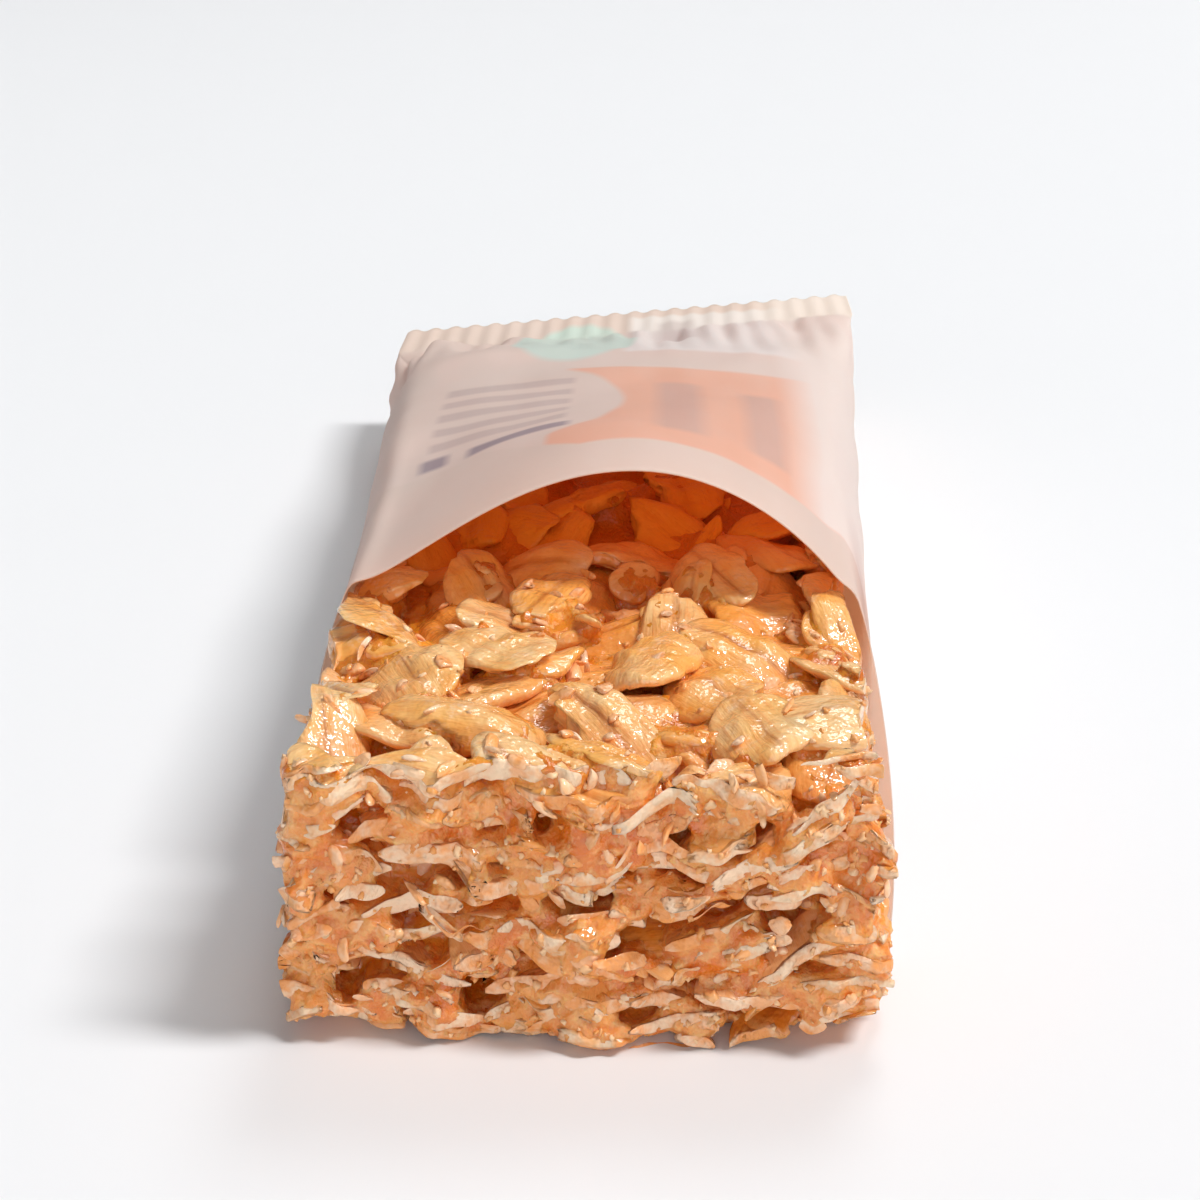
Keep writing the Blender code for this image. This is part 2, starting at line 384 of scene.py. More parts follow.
class HeightMap:
    """How high the oats lie so far, on a grid over the bar."""

    def __init__(self, step=0.5):
        self.step = step
        self.low = np.array([-BASE_HALF - 2, -4.0])
        self.shape = (int(2 * (BASE_HALF + 2) / step) + 1, int((BAR_LENGTH + 8) / step) + 1)
        self.height = np.zeros(self.shape)
        self.x = self.low[0] + step * np.arange(self.shape[0])
        self.y = self.low[1] + step * np.arange(self.shape[1])

    def window(self, centre, reach):
        first = np.maximum(((np.array(centre) - reach - self.low) / self.step).astype(int), 0)
        last = ((np.array(centre) + reach - self.low) / self.step).astype(int) + 2
        return slice(first[0], last[0]), slice(first[1], last[1])

    def level(self, centre, reach):
        """The mean height round a place."""
        return self.height[self.window(centre, reach)].mean()

    def drop(self, flake, centre, turn, press):
        """Lay the flake on what is there: its height and slopes, or None where nothing is under it."""
        window = self.window(centre, flake.reach)
        x, y = np.meshgrid(self.x[window[0]], self.y[window[1]], indexing="ij")
        x, y = x - centre[0], y - centre[1]
        own_x, own_y = rotated(x, y, -turn)
        mask = (own_x / (flake.length / 2)) ** 2 + (own_y / (flake.width / 2)) ** 2 < 0.9
        if mask.sum() < 6:
            return None
        there = self.height[window]
        x, y, z = x[mask], y[mask], there[mask]
        spread = columns(1.0, x, y)
        fit = np.linalg.lstsq(spread, z, rcond=None)[0]
        slope = np.clip(fit[1:] * press, -0.6, 0.6)
        rest = z - slope[0] * x - slope[1] * y
        base = np.percentile(rest, 72)
        top = base + slope[0] * x + slope[1] * y + flake.thickness * 0.8
        block = there.copy()
        block[mask] = np.maximum(z, top)
        self.height[window] = block
        return base, slope


def pick_flake(rng, level):
    """Whole plump flakes near the top; broken ones and small grains of all kinds further in."""
    on_top = level > TOP_LAYER
    if rng.uniform() < (0.22 if on_top else 0.5):
        thickness = rng.uniform(0.9 if on_top else 0.7, 1.4)
        flake = Flake(rng, rng.uniform(3.0, 5.6), rng.uniform(1.8, 3.4), thickness)
        flake.fold *= 0.3
    elif on_top:
        flake = Flake(rng, rng.uniform(7.8, 10.4), rng.uniform(5.2, 7.2), rng.uniform(1.1, 1.7))
    else:
        flake = Flake(rng, rng.uniform(6.0, 10.0), rng.uniform(4.4, 6.8), rng.uniform(0.8, 1.5))
    for _ in range(rng.integers(0, 2 if on_top else 4)):
        flake.cut_across(rng, rng.uniform(0.45 if on_top else 0.15, 0.9))
    if not on_top:
        flake.calm()
    return flake


def lay_up(rng):
    """Drop flakes until the bar is full."""
    heights = HeightMap()
    laid = []
    for _ in range(MOST_FLAKES):
        tries = []
        for _ in range(PLACES_TRIED):
            centre = (rng.uniform(-BASE_HALF, BASE_HALF), rng.uniform(-2.0, BAR_LENGTH))
            tries.append((heights.level(centre, 3.2), centre))
        level, centre = min(tries)
        if level > LAID_FULL:
            break
        flake = pick_flake(rng, level)
        turn = rng.uniform(0, math.pi)
        resting = heights.drop(flake, centre, turn, rng.uniform(0.5, 1.2))
        if resting is None:
            continue
        base, slope = resting
        if level < TOP_LAYER:
            slope = slope + rng.normal(0, 0.12, 2)
        laid.append(Laid(rng, flake, centre, turn, base + flake.thickness / 2, slope))
    return laid


def film_above(across, along):
    """Height of the film's underside over a place on the bar."""
    fold = mix(FOLD_HALF, SEAL_HALF, gone(along, FOLD_FLARES, 1.8))
    panel = np.full(np.shape(along), 2)
    return sheet_outline(along, panel, np.clip(across / fold, -1, 1))[1] - FILM


class Trim:
    """The bar's outer faces: pressed at its top and base, cut at its sides, broken at its front."""

    def __init__(self, rng):
        ripples = [Ripple(rng, length, 8) for length in (7.0, 2.0, 6.0, 8.0)]
        self.front, self.fine, self.side, self.top = ripples

    def front_at(self, across, height):
        """The broken face's place: it swells forward at its foot and is uneven all over."""
        up = np.clip(height / BAR_HEIGHT, 0, 1)
        swell = -(FRONT_SWELL - 0.7) * (1 - up) ** 1.2 * np.clip(1 - (across / BASE_HALF) ** 2, 0, 1)
        spots = columns(across, 0.0, height)
        return swell + 0.5 + 0.45 * self.front(spots) + 0.2 * self.fine(spots)

    def side_at(self, along, height, loose):
        """Half the bar's width. The wrapper holds loose flakes in."""
        in_film = smooth((along - 4) / 5)
        free = mix(loose, min(loose, 0.0), in_film)
        spots = columns(0.0, along, height)
        return half_width(height) + 0.3 * self.side(spots) + 0.4 * free

    def flat(self, across, along, height, loose):
        """Places in a flake's own plane cut back to the bar's outline, and 1 where they were."""
        over = np.abs(across) - self.side_at(along, height, loose)
        across = across - np.sign(across) * 0.95 * np.maximum(over, 0)
        ahead = self.front_at(across, height) - loose - along
        behind = along - (BAR_LENGTH - 0.8)
        along = along + 0.95 * np.maximum(ahead, 0) - 0.95 * np.maximum(behind, 0)
        return across, along, smooth(np.maximum(over, ahead) / 0.5)

    def pressed(self, points, loose):
        """Points pressed flat at the top and base, and lifted where corners are broken away."""
        points = points.copy()
        x, y, z = points[..., 0], points[..., 1], points[..., 2]
        over = np.abs(x) - self.side_at(y, z, loose) - 0.25
        x -= np.sign(x) * 0.8 * np.maximum(over, 0)
        ahead = self.front_at(x, z) - loose - 0.4 - y
        y += 0.8 * np.maximum(ahead, 0)
        roof = BAR_HEIGHT + 0.25 * self.top(points * [1, 1, 0]) + 0.3 * loose
        z -= 0.75 * np.maximum(z - roof, 0)
        z[...] = np.where(y > MOUTH_AT_TOP, np.minimum(z, film_above(x, y) - UNDER_FILM), z)
        z[...] = np.where(z < 0.3, 0.3 * np.exp((z - 0.3) / 0.3), z)
        raised = REST_ON_FILM * smooth((y - 3) / 4)
        for side, height in ((1, RIGHT_CHIP), (-1, LEFT_CHIP)):
            away = np.hypot(x - side * BASE_HALF, y)
            raised = raised + height * smooth(1 - away / CHIP_REACH)
        z += raised * np.clip(1 - z / BAR_HEIGHT, 0, 1)
        return points


def joined(name, layers, grid, trim):
    """One mesh of many flakes, with each point's place on its own flake kept for the material."""
    u, v, side, faces = flake_grid(*grid)
    middle, radius = disc(u, v)[1:]
    heap = Heap(faces, len(u))
    for layer in layers:
        flake = layer.flake
        place, local, cut = layer.points(u, v, side, trim)
        crease = np.exp(-((middle / 0.1) ** 2)) * (1 - radius**4) * min(1.0, flake.crease * 4)
        oat = columns(flake.tint, crease, radius, cut)
        heap.add(place + [BAR_SHIFT, 0, 0], local + flake.shift, oat)
    return heap.piece(name, "lie", "oat")


# ----- the syrup


def blurred(field, width):
    """The field smoothed along each axis by a bell curve, width in cells."""
    reach = int(math.ceil(2.5 * width))
    weights = np.exp(-0.5 * (np.arange(-reach, reach + 1) / width) ** 2)
    weights /= weights.sum()
    for axis in range(3):
        total = np.zeros_like(field)
        for offset, weight in zip(range(-reach, reach + 1), weights):
            total += weight * np.roll(field, offset, axis)
        field = total
    return field


def surface_net(field, level, low, step):
    """Points and quads of the surface where the field passes the level."""
    inside = field > level
    cells = tuple(size - 1 for size in field.shape)
    count = np.zeros(np.prod(cells))
    total = np.zeros((np.prod(cells), 3))
    rings = []
    for axis in range(3):
        near = tuple(slice(0, -1) if k == axis else slice(None) for k in range(3))
        far = tuple(slice(1, None) if k == axis else slice(None) for k in range(3))
        where = np.argwhere(inside[near] != inside[far])
        start, end = field[near][tuple(where.T)], field[far][tuple(where.T)]
        crossing = where.astype(float)
        crossing[:, axis] += (level - start) / (end - start)
        first, second = [k for k in range(3) if k != axis]
        ring = []
        for step_first, step_second in ((-1, -1), (0, -1), (0, 0), (-1, 0)):
            cell = where.copy()
            cell[:, first] += step_first
            cell[:, second] += step_second
            flat = np.ravel_multi_index(cell.T, cells)
            ring.append(flat)
            count += np.bincount(flat, minlength=len(count))
            for k in range(3):
                total[:, k] += np.bincount(flat, crossing[:, k], minlength=len(count))
        ring = np.stack(ring, -1)
        outward = inside[near][tuple(where.T)] ^ (axis == 1)
        rings.append(np.where(outward[:, None], ring, ring[:, ::-1]))
    used = np.flatnonzero(count)
    number = np.full(len(count), -1)
    number[used] = np.arange(len(used))
    points = low + step * total[used] / count[used, None]
    return points, number[np.concatenate(rings)]


def occupied(layers, trim, low, shape, start, end, step):
    """A grid that is 1 where the flakes are."""
    field = np.zeros(shape, np.float32)
    grain = np.linspace(-0.97, 0.97, int(6.5 / step))
    u, v = (part.ravel() for part in np.meshgrid(grain, grain, indexing="ij"))
    for layer in layers:
        if not start - 7 < layer.centre[1] < end + 7:
            continue
        for side in (-0.9, 0.0, 0.9):
            spots = layer.points(u, v, np.full(u.shape, side), trim, 0.12)[0]
            cell = ((spots - low) / step + 0.5).astype(int)
            cell = cell[(cell >= 3).all(1) & (cell < np.array(shape) - 3).all(1)]
            field[tuple(cell.T)] = 1.0
    return field


def close_hollows(field, level):
    """Fill the air that can't be seen straight from outside."""
    open_air = field < level
    seen = np.zeros(field.shape, bool)
    for axis, turned in ((0, False), (0, True), (1, False), (2, False), (2, True)):
        run = np.flip(open_air, axis) if turned else open_air
        run = np.logical_and.accumulate(run, axis)
        seen |= np.flip(run, axis) if turned else run
    field[open_air & ~seen] = level * 1.15


def syrup_net(layers, trim, start, end, step, width, level):
    """The syrup between start and end along the bar: the smoothed union of all its flakes."""
    low = np.array([-BASE_HALF - 2.5, start - 4 * step, -4 * step])
    high = np.array([BASE_HALF + 2.5, end + 4 * step, BAR_HEIGHT + 2.5])
    shape = tuple(((high - low) / step).astype(int) + 1)
    field = occupied(layers, trim, low, shape, start, end, step)
    axes = [low[k] + step * np.arange(shape[k]) for k in range(3)]
    x, y, z = np.meshgrid(*axes, indexing="ij", sparse=True)
    edge = np.minimum(half_width(z) - np.abs(x), np.minimum(y, BAR_LENGTH - y))
    field[np.minimum(edge, np.minimum(z, BAR_HEIGHT - z)) > SYRUP_CORE] = 1.0
    field[(edge > BASE_SYRUP) & (z > 0.2) & (z < BASE_SYRUP)] = 1.0
    field = blurred(field, width / step)
    close_hollows(field, level)
    field = blurred(field, 0.6)
    field += 0.06 * smooth((4.5 - y) / 3) * (field > 0.05)
    for axis in range(3):
        ends = np.moveaxis(field, axis, 0)
        ends[:2] = ends[-2:] = 0
    beyond = (y < start - step) | (y > end + step)
    field[np.broadcast_to(beyond, field.shape)] = 0
    return surface_net(field, level, low, step)


def syrup_piece(name, layers, trim, **settings):
    """The syrup's mesh, with how near each point is to the broken front face."""
    points, quads = syrup_net(layers, trim, **settings)
    rng = np.random.default_rng(SEED + 2)
    free = smooth(points[:, 2] / 0.5)
    for axis in range(3):
        rough = 0.09 * Ripple(rng, 1.3)(points) + 0.05 * Ripple(rng, 0.75)(points)
        points[:, axis] += rough * free
    lowest = 0.02 + 0.2 * smooth((points[:, 1] - 3) / 4)
    points[:, 2] = np.maximum(points[:, 2], lowest)
    depth = points[:, 1] - trim.front_at(points[:, 0], points[:, 2])
    high = np.clip(points[:, 2] / BAR_HEIGHT, 0, 1)
    front = smooth((3.2 - depth) / 2.4) * smooth((1 - high) / 0.12)
    attributes = [("near", columns(front, high, 0.0))]
    return new_mesh(name, points + [BAR_SHIFT, 0, 0], quads, attributes)


# ----- crumbs and slivers


def first_hit(trees, start, heading):
    """Where a ray first meets the bar, and the surface's direction there, in millimetres."""
    start = Vector((start[0] * MM, start[1] * MM + FACE_Y, start[2] * MM))
    hits = [tree.ray_cast(start, Vector(heading)) for tree in trees]
    hits = [hit for hit in hits if hit[0] is not None]
    if not hits:
        return None
    place, normal = min(hits, key=lambda hit: hit[3])[:2]
    return np.array(place) / MM - [0, FACE_Y / MM, 0], np.array(normal)


def scattered(rng, trees, top, front, side):
    """Random spots on the bar's top, front and sides, with the surface's direction at each."""
    rays = [((rng.uniform(-18, 18), 31 * rng.uniform() ** 1.3, 24), (0, 0, -1)) for _ in range(top)]
    rays += [((rng.uniform(-19, 19), -5, rng.uniform(0.6, 20)), (0, 1, 0)) for _ in range(front)]
    for _ in range(side):
        way = rng.choice([-1, 1])
        rays.append(((way * 24, rng.uniform(0, 14), rng.uniform(0.6, 20)), (-way, 0, 0)))
    hits = [first_hit(trees, start, heading) for start, heading in rays]
    return [hit for hit in hits if hit is not None]


def facing(rng, normal, tilt):
    """Three directions for a piece that lies on a surface, tilted by chance."""
    up = normal + rng.normal(0, tilt, 3)
    up /= np.linalg.norm(up)
    run = np.cross(up, rng.normal(size=3))
    run /= np.linalg.norm(run)
    return np.stack([run, np.cross(up, run), up])


def crumbs(name, rng, spots):
    """Oat meal and sugar grains: small rough lumps."""
    shape = bmesh.new()
    bmesh.ops.create_icosphere(shape, subdivisions=2, radius=1.0)
    unit = np.array([vertex.co for vertex in shape.verts])
    faces = np.array([[vertex.index for vertex in face.verts] for face in shape.faces])
    shape.free()
    heap = Heap(faces, len(unit))
    for number, (place, normal) in enumerate(spots):
        rough = Ripple(rng, 1.6, 6)
        size = rng.uniform(0.08, 0.3) * rng.uniform(0.5, 1.4, 3)
        body = unit * (1 + 0.3 * rough(unit * 1.3 + number))[:, None] * size
        spot = place + body @ facing(rng, normal, 0.5)
        heap.add(spot, np.full((len(unit), 3), rng.uniform()))
    return heap.piece(name, "oat")


def slivers(name, rng, spots):
    """Broken bits of husk and flake, stuck on at all angles."""
    u, v, side, faces = flake_grid(9, 5)
    heap = Heap(faces, len(u))
    for place, normal in spots:
        length = rng.uniform(0.9, 2.8)
        flake = Flake(rng, length, rng.uniform(0.5, 1.3), rng.uniform(0.25, 0.5))
        flake.cut_across(rng, rng.uniform(0.1, 0.7))
        x, y, radius = flake.flat(u, v)
        local = columns(x, y, flake.rise(x, y, radius, side))
        spot = place + normal * SLIVER_LIFT + local @ facing(rng, normal, 0.22)
        oat = columns(flake.tint, 0.0, radius, rng.uniform(0.1, 1.0))
        heap.add(spot, local + flake.shift, oat)
    return heap.piece(name, "lie", "oat")


# ----- the wrapper's film


def gone(along, start, power):
    """How far along the way from start to the seal, eased by a power."""
    return np.clip((along - start) / (SEAL_START - start), 0, 1) ** power


def arch(across):
    """The arched top as a share of its rise."""
    right = np.maximum(0, 1 - ((across - ARCH_CREST) / ARCH_RIGHT) ** 2) ** 0.88
    left = np.maximum(0, 1 - ((ARCH_CREST - across) / ARCH_LEFT) ** 2) ** 1.35
    return np.where(across > ARCH_CREST, right, left)


def sheet_outline(along, panel, run):
    """Across and height of the film's outer face: panel 0 base, 1 right, 2 top, 3 left."""
    base = mix(WRAPPER_BASE_HALF, SEAL_HALF, gone(along, BASE_FLARES, 1.6))
    middle = mix(MIDDLE_HALF, SEAL_HALF, gone(along, MOUTH_AT_FOLD, 1.0))
    fold = mix(FOLD_HALF, SEAL_HALF, gone(along, FOLD_FLARES, 1.8))
    flat = (panel == 0) | (panel == 2)
    share = np.where(flat, run, np.where(panel == 1, 1.0, -1.0))
    up = np.where(flat, panel / 2, run)
    seal = SEAL_HEIGHT + SEAL_TILT * share
    low = mix(0.0, seal - FILM, gone(along, BAR_LENGTH, 1.0))
    held = mix(FOLD_HEIGHT, seal + FILM, gone(along, BAR_LENGTH, 1.0))
    edge = mix(FOLD_HEIGHT, seal + FILM, gone(along, FOLD_TURNS_DOWN, 1.4))
    rise = ARCH_RISE * np.exp(-(((along - MOUTH_AT_FOLD) / ARCH_FADE) ** 2))
    rise = rise * (1 - gone(along, BAR_LENGTH / 2, 1.0))
    high = mix(edge, held, 1 - share**6) + rise * arch(FOLD_HALF * share)
    bulge = 4 * up * (1 - up) * (middle - (base + fold) / 2)
    return share * (mix(base, fold, up) + bulge), mix(low, high, up)


def sheet_rings(across_count, side_count, stations):
    """Rings of points round the film, from the mouth's cut edge to the seal's cut end."""
    across = np.linspace(-1, 1, across_count, endpoint=False)
    up = np.linspace(0, 1, side_count, endpoint=False)
    runs = [across, up, -across, 1 - up]
    panel = np.repeat(np.arange(4), [len(run) for run in runs])
    run = np.concatenate(runs)
    x, z = sheet_outline(np.full(len(run), MOUTH_AT_TOP), panel, run)
    height = np.clip(z / FOLD_HEIGHT, 0, 1)
    edge = mix(MOUTH_AT_BASE, MOUTH_AT_FOLD, height**1.5)
    edge = edge + np.where(z > FOLD_HEIGHT, (MOUTH_AT_TOP - MOUTH_AT_FOLD) * arch(x), 0)
    along = mix(edge, CAVITY_END, np.linspace(0, 1, stations)[:, None] ** 1.15)
    seal = np.linspace(CAVITY_END, WRAPPER_LENGTH, 12)[1:, None] * np.ones(len(run))
    along = np.concatenate([along, seal])
    x, z = sheet_outline(along, panel, run)
    for _ in range(10):
        x = x * 0.5 + (np.roll(x, 1, 1) + np.roll(x, -1, 1)) * 0.25
        eased = z * 0.5 + (np.roll(z, 1, 1) + np.roll(z, -1, 1)) * 0.25
        z = np.where(z < 1e-6, z, eased)
    return columns(x, along, z)


def facing_out(rings):
    """The direction straight out of the film at each point."""
    run = np.roll(rings, -1, 1) - np.roll(rings, 1, 1)
    out = columns(run[..., 2], 0.0, -run[..., 0])
    return out / np.linalg.norm(out, axis=-1, keepdims=True)


def wrinkled(rng, rings, flat):
    """Soft dents in the paper, gathers that run into the seal, and the seal's crimped ribs."""
    along = rings[..., 1]
    spots = columns(flat, along, 0.0)
    dents = Ripple(rng, 16.0)(spots * [1, 0.7, 1]) + 0.5 * Ripple(rng, 7.0)(spots)
    gathers = Ripple(rng, 6.5, 7)(spots * [1, 0.1, 1])
    gathers = gathers + 0.5 * Ripple(rng, 3.2, 6)(spots * [1, 0.16, 1])
    in_seal = smooth((along - SEAL_START + 1.5) / 3)
    gather = smooth((along - 78) / 34) * (1 - in_seal)
    free = smooth((along - MOUTH_AT_TOP) / 12) * (1 - in_seal)
    on_table = rings[..., 2] < 1e-3
    push = 0.1 * free * dents + 0.42 * gather * gathers
    push = np.where(along < BAR_LENGTH + 3, np.maximum(push, -0.12), push)
    room = 0.2 * mix(FOLD_HEIGHT, 2 * FILM, gone(along, BAR_LENGTH, 1.0))
    push = np.where(on_table, 0, np.clip(push, -room, room))
    moved = rings + facing_out(rings) * push[..., None]
    ribs = np.sin(TURN * rings[..., 0] / (2 * SEAL_HALF / SEAL_TEETH))
    moved[..., 2] += 0.13 * ribs * in_seal
    return moved


def make_film(rng):
    """The wrapper: outside from the seal to the mouth, then inside back to the seal."""
    across_count, side_count, stations = FILM_GRID
    rings = sheet_rings(across_count, side_count, stations)
    step = np.linalg.norm(np.roll(rings, -1, 1) - rings, axis=-1)
    reach = np.concatenate([np.zeros((len(rings), 1)), np.cumsum(step, 1)[:, :-1]], 1)
    centre = across_count + side_count + across_count // 2
    flat = reach[:, centre : centre + 1] - reach
    rings = wrinkled(rng, rings, flat)
    share = rings[..., 0] / SEAL_HALF
    rings[..., 1] += SEAL_SKEW * share * smooth((rings[..., 1] - 104) / 12.5)
    tooth = np.abs(np.mod((share[-1] + 1) * SEAL_TEETH, 2) - 1)
    rings[-1, :, 1] -= TOOTH_DEPTH * tooth
    inner = rings[:stations] - facing_out(rings[:stations]) * FILM
    all_rings = np.concatenate([rings[::-1], inner])
    sheet = columns(flat, rings[..., 1], 0.0)
    inner_sheet = sheet[:stations] + [0, 0, 1]
    attributes = [("sheet", np.concatenate([sheet[::-1], inner_sheet]).reshape(-1, 3))]
    count = rings.shape[1]
    index = np.arange(len(all_rings) * count).reshape(len(all_rings), count)
    after = np.roll(index, -1, 1)
    walls = columns(index[:-1], after[:-1], after[1:], index[1:]).reshape(-1, 4)
    ends = []
    for ring, turn in ((index[0], -1), (index[-1], 1)):
        turned = np.roll(ring, side_count // 2)
        k = np.arange(count // 2 - 1)
        quads = columns(turned[k], turned[k + 1], turned[count - 2 - k], turned[count - 1 - k])
        ends.append(quads[:, ::turn])
    faces = np.concatenate([walls, *ends])
    return new_mesh("film", all_rings.reshape(-1, 3), faces, attributes)


# ----- materials


class Nodes:
    """Short calls for building the node tree of one material, or of the world."""

    def __init__(self, owner):
        self.owner = owner
        owner.use_nodes = True
        self.tree = owner.node_tree

    def add(self, kind, inputs=(), **settings):
        node = self.tree.nodes.new(kind)
        for key, value in settings.items():
            setattr(node, key, value)
        for key, value in dict(inputs).items():
            self.put(node.inputs[key], value)
        return node

    def put(self, socket, value):
        """Link the value into the socket, or set it there if it is the same everywhere."""
        if isinstance(value, bpy.types.NodeSocket):
            self.tree.links.new(value, socket)
        elif socket.type == "RGBA":
            socket.default_value = (*value, 1)
        else:
            socket.default_value = value

    def surface(self, values):
        """Fill the main shader's sockets, and give the shader."""
        shader = self.tree.nodes["Principled BSDF"]
        for key, value in values.items():
            self.put(shader.inputs[key], value)
        return shader.outputs[0]

    def place(self):
        return self.add("ShaderNodeTexCoord").outputs["Object"]

    def attribute(self, name, output="Vector"):
        return self.add("ShaderNodeAttribute", attribute_name=name).outputs[output]

    def scaled(self, vector, scale):
        node = self.add("ShaderNodeVectorMath", {0: vector, 1: scale}, operation="MULTIPLY")
        return node.outputs[0]

    def noise(self, vector, scale, detail=3.0, roughness=0.55):
        inputs = {"Vector": vector, "Scale": scale, "Detail": detail, "Roughness": roughness}
        return self.add("ShaderNodeTexNoise", inputs).outputs["Fac"]

    def maths(self, operation, first, second=0.0, third=0.0):
        inputs = {0: first, 1: second, 2: third}
        return self.add("ShaderNodeMath", inputs, operation=operation).outputs[0]

    def times(self, first, second):
        return self.maths("MULTIPLY", first, second)

    def line(self, value, slope, start):
        return self.maths("MULTIPLY_ADD", value, slope, start)

    def spread(self, value, low, high, start=0.0, end=1.0, **settings):
        """The value stretched from low..high to start..end, and kept between them."""
        inputs = {"Value": value, "From Min": low, "From Max": high, "To Min": start, "To Max": end}
        return self.add("ShaderNodeMapRange", inputs, **settings).outputs["Result"]

    def blend(self, share, first, second):
        inputs = {"Factor": share, "A": first, "B": second}
        return self.add("ShaderNodeMix", inputs, data_type="RGBA").outputs["Result"]

    def bump(self, *layers):
        """A normal from layers of height, distance in metres and strength, one on another."""
        normal = None
        for height, distance, strength in layers:
            inputs = {"Height": height, "Distance": distance, "Strength": strength}
            if normal is not None:
                inputs["Normal"] = normal
            normal = self.add("ShaderNodeBump", inputs).outputs["Normal"]
        return normal

    def painted(self, colour, *coats):
        """The colour under coats of others, each a share and its own colour."""
        for share, coat in coats:
            colour = self.blend(share, colour, coat)
        return colour

    def parts(self, vector):
        return self.add("ShaderNodeSeparateXYZ", {0: vector}).outputs

    def oval(self, x, y, centre, radii, soft):
        """1 inside an oval and 0 outside it, with a soft edge."""
        across = self.line(x, 1 / radii[0], -centre[0] / radii[0])
        along = self.line(y, 1 / radii[1], -centre[1] / radii[1])
        squares = self.times(across, across)
        reach = self.maths("SQRT", self.line(along, along, squares))
        edge = soft / min(radii)
        return self.spread(reach, 1 + edge, 1 - edge)

    def bar(self, x, y, low, high, soft):
        """1 inside a rectangle from its low corner to its high one, with a soft edge."""
        sides = []
        for value, start, end in ((x, low[0], high[0]), (y, low[1], high[1])):
            rising = self.spread(value, start - soft, start + soft)
            falling = self.spread(value, end + soft, end - soft)
            sides.append(self.times(rising, falling))
        return self.times(*sides)


def painted_bag_shade(nodes, place):
    """0 on the open part of the bar and 1 under the wrapper: the mask of the painted shade that turns
    all there a deep amber and dulls its glaze.
    """
    return nodes.spread(nodes.parts(place)[1], *BAG_SHADE_EDGE)


def oat_material(name, deep, golden, pale, floury, dry_glaze, wet_glaze, glow, soak_and_shade, shine):
    """Toasted oats: fibres along the flake, a brown crease, pale cut faces, a syrup glaze."""
    nodes = Nodes(bpy.data.materials.new(name))
    lie = nodes.attribute("lie")
    tint, crease, radius = nodes.parts(nodes.attribute("oat"))
    cut = nodes.attribute("oat", "Alpha")
    place = nodes.place()
    # 1 under the wrapper, where painted shade turns the oats deep amber and dulls their glaze
    wrapped = painted_bag_shade(nodes, place)
    patches = nodes.noise(lie, 0.32, 1.0)
    fibres = nodes.noise(nodes.scaled(lie, (0.3, 3.2, 1.5)), 1.0, 3.0, 0.6)
    flour = nodes.noise(place, 520.0, 3.0, 0.62)
    specks = nodes.noise(place, 2600.0, 1.0, 0.7)
    tone = nodes.maths("ADD", nodes.spread(patches, 0.32, 0.68), nodes.spread(tint, 0, 1, -0.45, 0.45))
    rim = nodes.times(nodes.spread(radius, 0.78, 0.98), nodes.spread(patches, 0.4, 0.6))
    white = nodes.times(nodes.spread(flour, 0.54, 0.66), nodes.spread(specks, 0.4, 0.6))
    inside = nodes.maths("ADD", nodes.spread(flour, 0.4, 0.6), nodes.spread(tint, 0, 1, -0.5, 0.5))
    # Painted shade with syrup soaked in: oats turn deep amber below the top's highest places, less so
    # on cut faces
    low = nodes.spread(nodes.parts(place)[2], *SOAKED_AND_SHADED_BELOW)
    soaked_and_shaded = nodes.times(low, nodes.spread(flour, 0.3, 0.55, 0.5, 1.0))
    colour = nodes.painted(
        nodes.blend(nodes.spread(tone, 0.0, 1.0), golden, pale),
        (nodes.spread(fibres, 0.46, 0.72, 0.0, 0.5), deep),
        (nodes.times(rim, 0.35), pale),
        (nodes.times(crease, nodes.spread(fibres, 0.3, 0.55, 0.45, 1.0)), CREASE),
        (nodes.times(white, floury), FLOUR),
        (nodes.times(cut, 0.8), nodes.blend(nodes.spread(inside, 0.0, 1.0), *BROKEN_OAT)),
        (nodes.times(soaked_and_shaded, nodes.maths("SUBTRACT", soak_and_shade, cut)), SOAKED_AND_SHADED_OAT),
        (nodes.times(wrapped, BAG_SHADE_DEPTH), BAG_SHADED_OAT),
    )
    wet = nodes.noise(place, 260.0, 1.0)
    dry = nodes.line(cut, -0.4, 1.0)
    coat = nodes.times(nodes.spread(wet, 0.62, 0.4, dry_glaze, wet_glaze), dry)
    coarse = nodes.noise(place, 850.0, 2.0, 0.6)
    cuts = nodes.times(flour, cut)
    bumps = [(coarse, 0.00032, 0.7), (fibres, 0.00022, 0.6)]
    bumps += [(cuts, 0.0009, 0.8), (specks, 0.00005, 0.6)]
    nodes.surface({
        "Base Color": colour,
        "Roughness": nodes.spread(wet, 0.35, 0.65, 0.32, 0.6),
        "Specular IOR Level": shine,
        "Coat Weight": nodes.times(coat, nodes.line(wrapped, -BAG_SHADE_DEPTH, 1.0)),
        "Coat Roughness": GLAZE_ROUGHNESS,
        "Coat IOR": 1.7,
        "Coat Normal": nodes.bump((coarse, 0.00045, 0.9)),
        "Subsurface Weight": glow,
        "Subsurface Radius": (1.0, 0.9, 0.8),
        "Subsurface Scale": 0.0005,
        "Normal": nodes.bump(*bumps),
    })
    return nodes.owner


